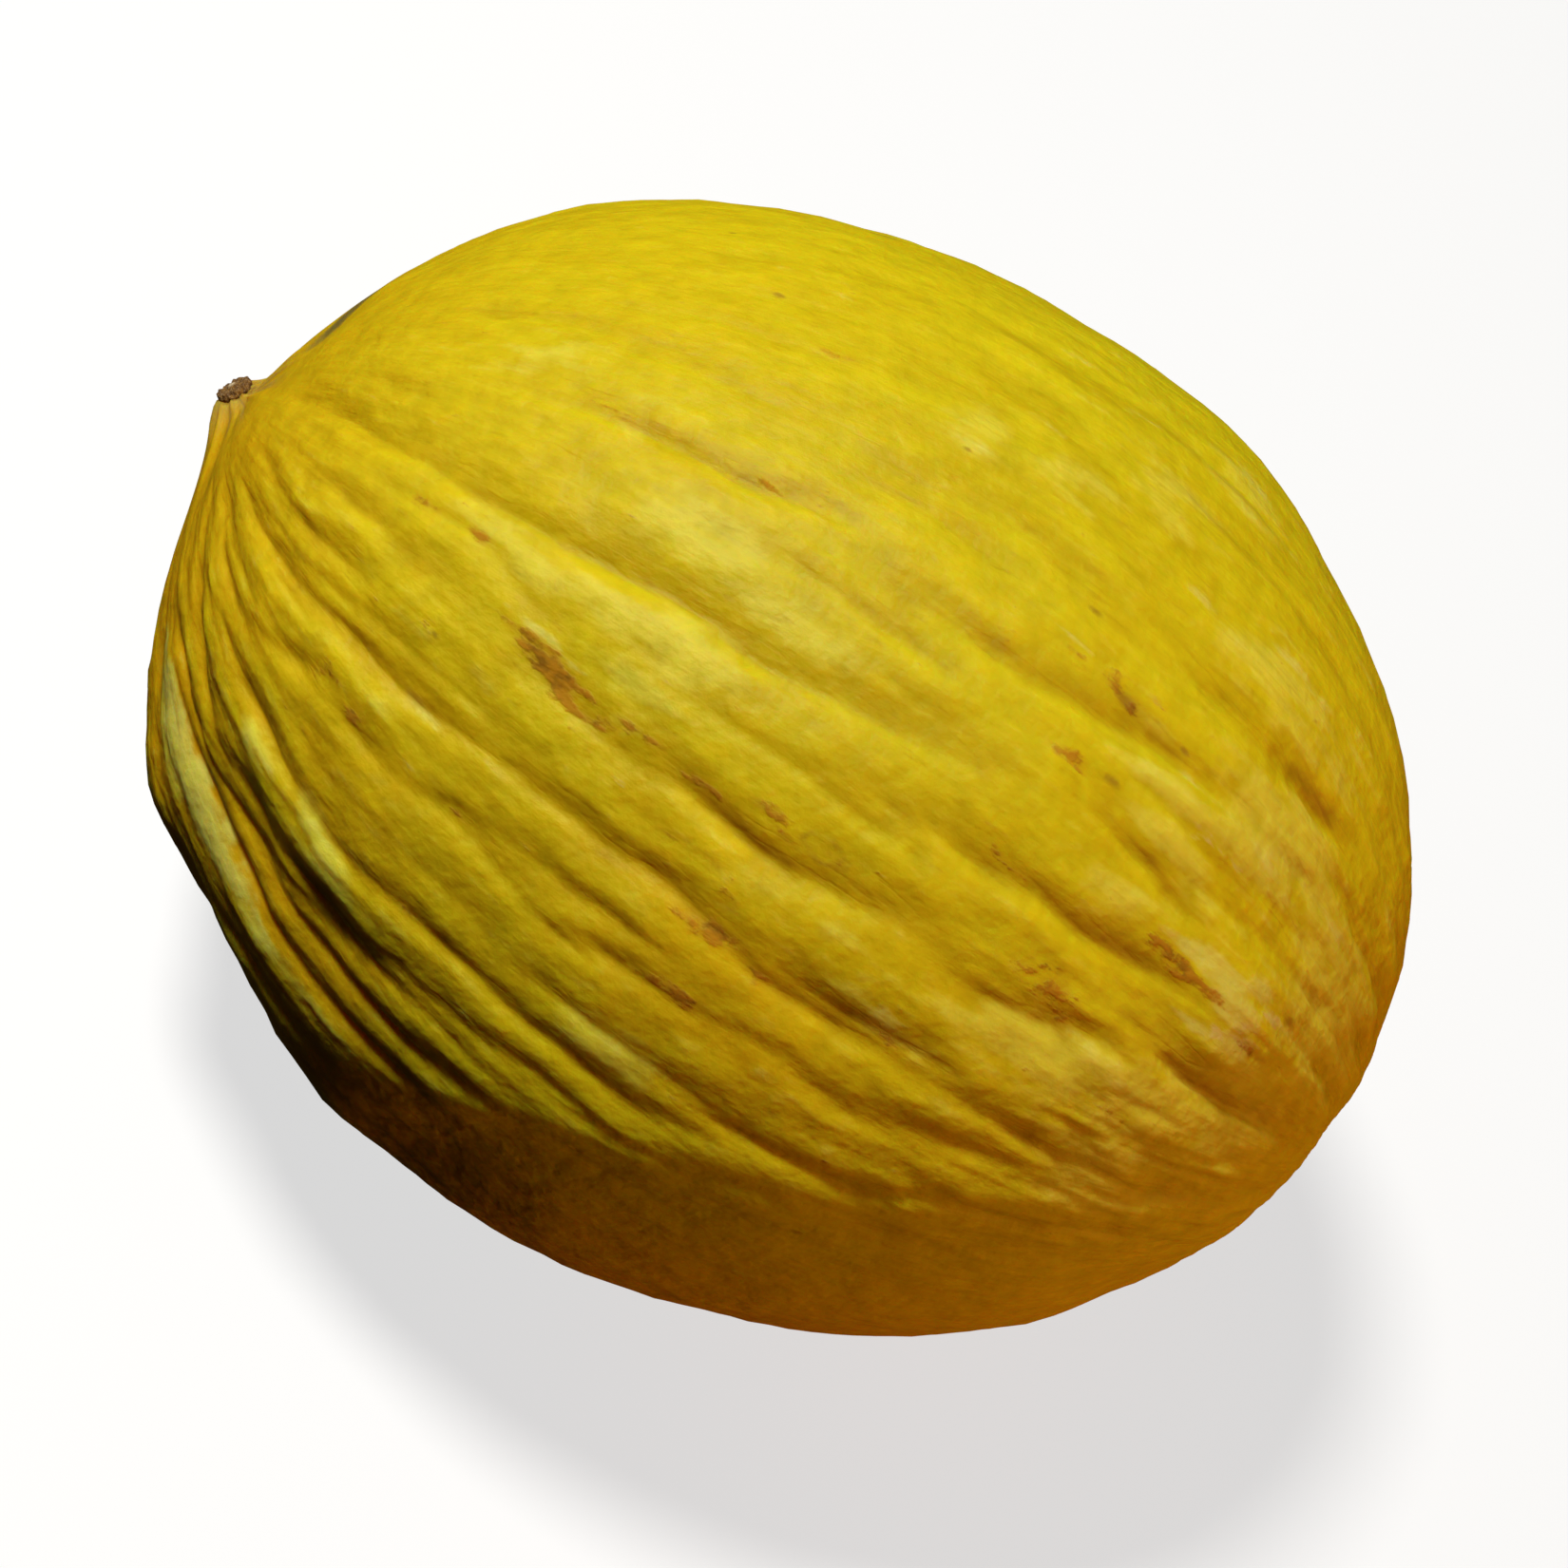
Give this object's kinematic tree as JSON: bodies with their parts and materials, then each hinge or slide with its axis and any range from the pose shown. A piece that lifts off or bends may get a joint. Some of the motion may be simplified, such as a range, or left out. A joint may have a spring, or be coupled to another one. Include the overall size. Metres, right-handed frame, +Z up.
{
  "type": "melon",
  "caption": "Whole yellow canary-type melon lying on its side, egg-shaped with lengthwise wrinkles, a short neck and a dry stem stub.",
  "frame": {"origin": "centre of the small flat spot that the fruit rests on", "axes": "+Z up; +X along the fruit from the stem end to the blossom end; -Y faces the more wrinkled side"},
  "size_m": [0.2043, 0.1663, 0.1646],
  "materials": {
    "rind": "waxy semi-gloss yellow fruit rind with golden furrows and corky scuffs",
    "stem": "dry, rough, corky brown"
  },
  "bodies": {
    "root": {"melon": "rind", "stem_stub": "stem"}
  },
  "joints": []
}
